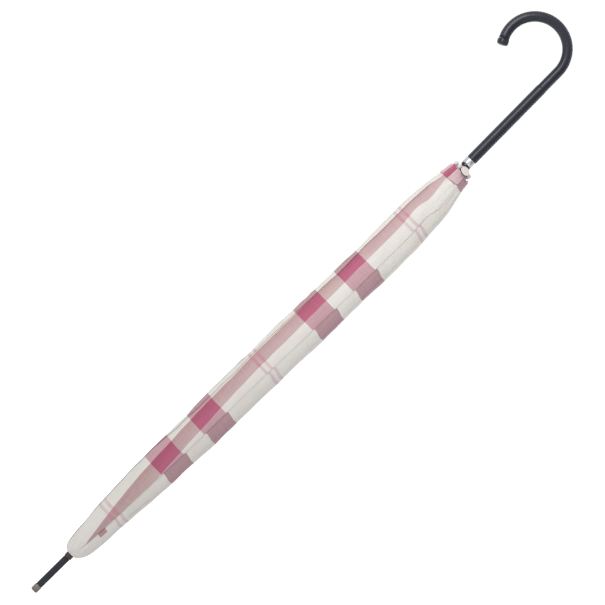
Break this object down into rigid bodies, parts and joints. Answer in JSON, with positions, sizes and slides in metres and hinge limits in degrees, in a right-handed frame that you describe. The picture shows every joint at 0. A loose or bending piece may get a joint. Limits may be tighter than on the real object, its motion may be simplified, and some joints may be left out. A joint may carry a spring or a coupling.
{
  "type": "stick umbrella",
  "caption": "Furled stick umbrella with a leather-covered crook handle, a checked canopy, a press-stud closure strap, folding ribs with stretchers and a metal-tipped ferrule.",
  "frame": {"origin": "centre of the flat end face of the ferrule tip", "axes": "+Z along the shaft towards the handle; the crook curls towards -X in the XZ plane; +Y away from the pictured side"},
  "size_m": [0.1136, 0.0505, 0.9],
  "materials": {
    "ferrule_pewter": "satin pewter",
    "dark_metal": "satin dark lacquer",
    "frame_steel": "satin",
    "rib_tips": "slightly translucent",
    "canopy_cloth": "woven, printed check in rose and mauve",
    "strap_cloth": "woven",
    "snap_cap": "pearl",
    "collar_chrome": "polished",
    "black_plastic": "black",
    "handle_wood": "plain",
    "handle_leather": "fine grain, semi-gloss"
  },
  "bodies": {
    "umbrella": {"ferrule_tip_cap": "ferrule_pewter", "ferrule": "dark_metal", "ferrule_collar": "ferrule_pewter", "crown_rosette": "canopy_cloth", "shaft": "dark_metal", "stop_pin": "frame_steel", "top_notch": "dark_metal", "notch_wire": "frame_steel", "collar_seat": "black_plastic", "handle_collar": "collar_chrome", "handle_core": "handle_wood", "handle_grip": "handle_leather", "handle_crook": "handle_leather", "handle_end_ring": "handle_leather", "handle_end_cap": "handle_leather"},
    "runner": {"runner": "dark_metal"},
    "lower_catch": {"lower_catch": "frame_steel"},
    "upper_catch": {"upper_catch": "frame_steel"},
    "rib_1": {"rib_1": "frame_steel", "rib_tip_1": "rib_tips"},
    "stretcher_1": {"stretcher_1": "frame_steel"},
    "gore_1": {"canopy_gore_1": "canopy_cloth"},
    "rib_2": {"rib_2": "frame_steel", "rib_tip_2": "rib_tips"},
    "stretcher_2": {"stretcher_2": "frame_steel"},
    "gore_2": {"canopy_gore_2": "canopy_cloth"},
    "rib_3": {"rib_3": "frame_steel", "rib_tip_3": "rib_tips"},
    "stretcher_3": {"stretcher_3": "frame_steel"},
    "gore_3": {"canopy_gore_3": "canopy_cloth"},
    "rib_4": {"rib_4": "frame_steel", "rib_tip_4": "rib_tips"},
    "stretcher_4": {"stretcher_4": "frame_steel"},
    "gore_4": {"canopy_gore_4": "canopy_cloth"},
    "rib_5": {"rib_5": "frame_steel", "rib_tip_5": "rib_tips"},
    "stretcher_5": {"stretcher_5": "frame_steel"},
    "gore_5": {"canopy_gore_5": "canopy_cloth", "snap_stud": "dark_metal"},
    "rib_6": {"rib_6": "frame_steel", "rib_tip_6": "rib_tips"},
    "stretcher_6": {"stretcher_6": "frame_steel"},
    "gore_6": {"canopy_gore_6": "canopy_cloth"},
    "rib_7": {"rib_7": "frame_steel", "rib_tip_7": "rib_tips"},
    "stretcher_7": {"stretcher_7": "frame_steel"},
    "gore_7": {"canopy_gore_7": "canopy_cloth"},
    "rib_8": {"rib_8": "frame_steel", "rib_tip_8": "rib_tips"},
    "stretcher_8": {"stretcher_8": "frame_steel"},
    "gore_8": {"canopy_gore_8": "canopy_cloth"},
    "strap": {"closure_strap": "strap_cloth", "snap_cap": "snap_cap", "snap_rim": "dark_metal"}
  },
  "joints": [
    {"name": "runner_slide", "type": "slide", "parent": "umbrella", "child": "runner", "axis": [0, 0, -1], "range_m": [0, 0.39386], "deforming": ["canopy_gore_1", "canopy_gore_2", "canopy_gore_3", "canopy_gore_4", "canopy_gore_5", "canopy_gore_6", "canopy_gore_7", "canopy_gore_8", "closure_strap"]},
    {"name": "rib_fold_1", "type": "hinge", "parent": "umbrella", "child": "rib_1", "pos_m": [0.00693, 0.00287, 0.0715], "axis": [-0.3827, 0.9239, 0], "range_deg": [-0.5, 72.5]},
    {"name": "stretcher_fold_1", "type": "hinge", "parent": "rib_1", "child": "stretcher_1", "pos_m": [0.00693, 0.00287, 0.3565], "axis": [0.3827, -0.9239, 0], "range_deg": [-0.5, 144.5]},
    {"name": "gore_spread_1", "type": "hinge", "parent": "rib_1", "child": "gore_1", "pos_m": [0.00693, 0.00287, 0.06361], "axis": [-0.8678, -0.4969, 0], "range_deg": [-0.5, 43.19]},
    {"name": "rib_fold_2", "type": "hinge", "parent": "umbrella", "child": "rib_2", "pos_m": [0.00287, 0.00693, 0.0715], "axis": [-0.9239, 0.3827, 0], "range_deg": [-0.5, 72.5]},
    {"name": "stretcher_fold_2", "type": "hinge", "parent": "rib_2", "child": "stretcher_2", "pos_m": [0.00287, 0.00693, 0.3565], "axis": [0.9239, -0.3827, 0], "range_deg": [-0.5, 144.5]},
    {"name": "gore_spread_2", "type": "hinge", "parent": "rib_2", "child": "gore_2", "pos_m": [0.00287, 0.00693, 0.06361], "axis": [-0.2623, -0.965, 0], "range_deg": [-0.5, 43.19]},
    {"name": "rib_fold_3", "type": "hinge", "parent": "umbrella", "child": "rib_3", "pos_m": [-0.00287, 0.00693, 0.0715], "axis": [-0.9239, -0.3827, 0], "range_deg": [-0.5, 72.5]},
    {"name": "stretcher_fold_3", "type": "hinge", "parent": "rib_3", "child": "stretcher_3", "pos_m": [-0.00287, 0.00693, 0.3565], "axis": [0.9239, 0.3827, 0], "range_deg": [-0.5, 144.5]},
    {"name": "gore_spread_3", "type": "hinge", "parent": "rib_3", "child": "gore_3", "pos_m": [-0.00287, 0.00693, 0.06361], "axis": [0.4969, -0.8678, 0], "range_deg": [-0.5, 43.19]},
    {"name": "rib_fold_4", "type": "hinge", "parent": "umbrella", "child": "rib_4", "pos_m": [-0.00693, 0.00287, 0.0715], "axis": [-0.3827, -0.9239, 0], "range_deg": [-0.5, 72.5]},
    {"name": "stretcher_fold_4", "type": "hinge", "parent": "rib_4", "child": "stretcher_4", "pos_m": [-0.00693, 0.00287, 0.3565], "axis": [0.3827, 0.9239, 0], "range_deg": [-0.5, 144.5]},
    {"name": "gore_spread_4", "type": "hinge", "parent": "rib_4", "child": "gore_4", "pos_m": [-0.00693, 0.00287, 0.06361], "axis": [0.965, -0.2623, 0], "range_deg": [-0.5, 43.19]},
    {"name": "rib_fold_5", "type": "hinge", "parent": "umbrella", "child": "rib_5", "pos_m": [-0.00693, -0.00287, 0.0715], "axis": [0.3827, -0.9239, 0], "range_deg": [-0.5, 72.5]},
    {"name": "stretcher_fold_5", "type": "hinge", "parent": "rib_5", "child": "stretcher_5", "pos_m": [-0.00693, -0.00287, 0.3565], "axis": [-0.3827, 0.9239, 0], "range_deg": [-0.5, 144.5]},
    {"name": "gore_spread_5", "type": "hinge", "parent": "rib_5", "child": "gore_5", "pos_m": [-0.00693, -0.00287, 0.06361], "axis": [0.8678, 0.4969, 0], "range_deg": [-0.5, 43.19]},
    {"name": "rib_fold_6", "type": "hinge", "parent": "umbrella", "child": "rib_6", "pos_m": [-0.00287, -0.00693, 0.0715], "axis": [0.9239, -0.3827, 0], "range_deg": [-0.5, 72.5]},
    {"name": "stretcher_fold_6", "type": "hinge", "parent": "rib_6", "child": "stretcher_6", "pos_m": [-0.00287, -0.00693, 0.3565], "axis": [-0.9239, 0.3827, 0], "range_deg": [-0.5, 144.5]},
    {"name": "gore_spread_6", "type": "hinge", "parent": "rib_6", "child": "gore_6", "pos_m": [-0.00287, -0.00693, 0.06361], "axis": [0.2623, 0.965, 0], "range_deg": [-0.5, 43.19]},
    {"name": "rib_fold_7", "type": "hinge", "parent": "umbrella", "child": "rib_7", "pos_m": [0.00287, -0.00693, 0.0715], "axis": [0.9239, 0.3827, 0], "range_deg": [-0.5, 72.5]},
    {"name": "stretcher_fold_7", "type": "hinge", "parent": "rib_7", "child": "stretcher_7", "pos_m": [0.00287, -0.00693, 0.3565], "axis": [-0.9239, -0.3827, 0], "range_deg": [-0.5, 144.5]},
    {"name": "gore_spread_7", "type": "hinge", "parent": "rib_7", "child": "gore_7", "pos_m": [0.00287, -0.00693, 0.06361], "axis": [-0.4969, 0.8678, 0], "range_deg": [-0.5, 43.19]},
    {"name": "rib_fold_8", "type": "hinge", "parent": "umbrella", "child": "rib_8", "pos_m": [0.00693, -0.00287, 0.0715], "axis": [0.3827, 0.9239, 0], "range_deg": [-0.5, 72.5]},
    {"name": "stretcher_fold_8", "type": "hinge", "parent": "rib_8", "child": "stretcher_8", "pos_m": [0.00693, -0.00287, 0.3565], "axis": [-0.3827, -0.9239, 0], "range_deg": [-0.5, 144.5]},
    {"name": "gore_spread_8", "type": "hinge", "parent": "rib_8", "child": "gore_8", "pos_m": [0.00693, -0.00287, 0.06361], "axis": [-0.965, 0.2623, 0], "range_deg": [-0.5, 43.19]},
    {"name": "lower_catch_press", "type": "slide", "parent": "umbrella", "child": "lower_catch", "axis": [1, 0, 0], "range_m": [0, 0.0024], "stiffness_N_per_m": 400},
    {"name": "upper_catch_press", "type": "slide", "parent": "umbrella", "child": "upper_catch", "axis": [1, 0, 0], "range_m": [0, 0.0024], "stiffness_N_per_m": 400},
    {"name": "strap_swing", "type": "hinge", "parent": "rib_4", "child": "strap", "pos_m": [-0.01362, 0.00643, 0.684], "axis": [0, 0, -1], "range_deg": [0, 110]}
  ],
  "couplings": [
    {"joint": "rib_fold_1", "follows": "runner_slide", "rad_per_m": 3.1906},
    {"joint": "stretcher_fold_1", "follows": "runner_slide", "rad_per_m": 6.3811},
    {"joint": "gore_spread_1", "follows": "runner_slide", "rad_per_m": 1.8916},
    {"joint": "rib_fold_2", "follows": "runner_slide", "rad_per_m": 3.1906},
    {"joint": "stretcher_fold_2", "follows": "runner_slide", "rad_per_m": 6.3811},
    {"joint": "gore_spread_2", "follows": "runner_slide", "rad_per_m": 1.8916},
    {"joint": "rib_fold_3", "follows": "runner_slide", "rad_per_m": 3.1906},
    {"joint": "stretcher_fold_3", "follows": "runner_slide", "rad_per_m": 6.3811},
    {"joint": "gore_spread_3", "follows": "runner_slide", "rad_per_m": 1.8916},
    {"joint": "rib_fold_4", "follows": "runner_slide", "rad_per_m": 3.1906},
    {"joint": "stretcher_fold_4", "follows": "runner_slide", "rad_per_m": 6.3811},
    {"joint": "gore_spread_4", "follows": "runner_slide", "rad_per_m": 1.8916},
    {"joint": "rib_fold_5", "follows": "runner_slide", "rad_per_m": 3.1906},
    {"joint": "stretcher_fold_5", "follows": "runner_slide", "rad_per_m": 6.3811},
    {"joint": "gore_spread_5", "follows": "runner_slide", "rad_per_m": 1.8916},
    {"joint": "rib_fold_6", "follows": "runner_slide", "rad_per_m": 3.1906},
    {"joint": "stretcher_fold_6", "follows": "runner_slide", "rad_per_m": 6.3811},
    {"joint": "gore_spread_6", "follows": "runner_slide", "rad_per_m": 1.8916},
    {"joint": "rib_fold_7", "follows": "runner_slide", "rad_per_m": 3.1906},
    {"joint": "stretcher_fold_7", "follows": "runner_slide", "rad_per_m": 6.3811},
    {"joint": "gore_spread_7", "follows": "runner_slide", "rad_per_m": 1.8916},
    {"joint": "rib_fold_8", "follows": "runner_slide", "rad_per_m": 3.1906},
    {"joint": "stretcher_fold_8", "follows": "runner_slide", "rad_per_m": 6.3811},
    {"joint": "gore_spread_8", "follows": "runner_slide", "rad_per_m": 1.8916}
  ]
}
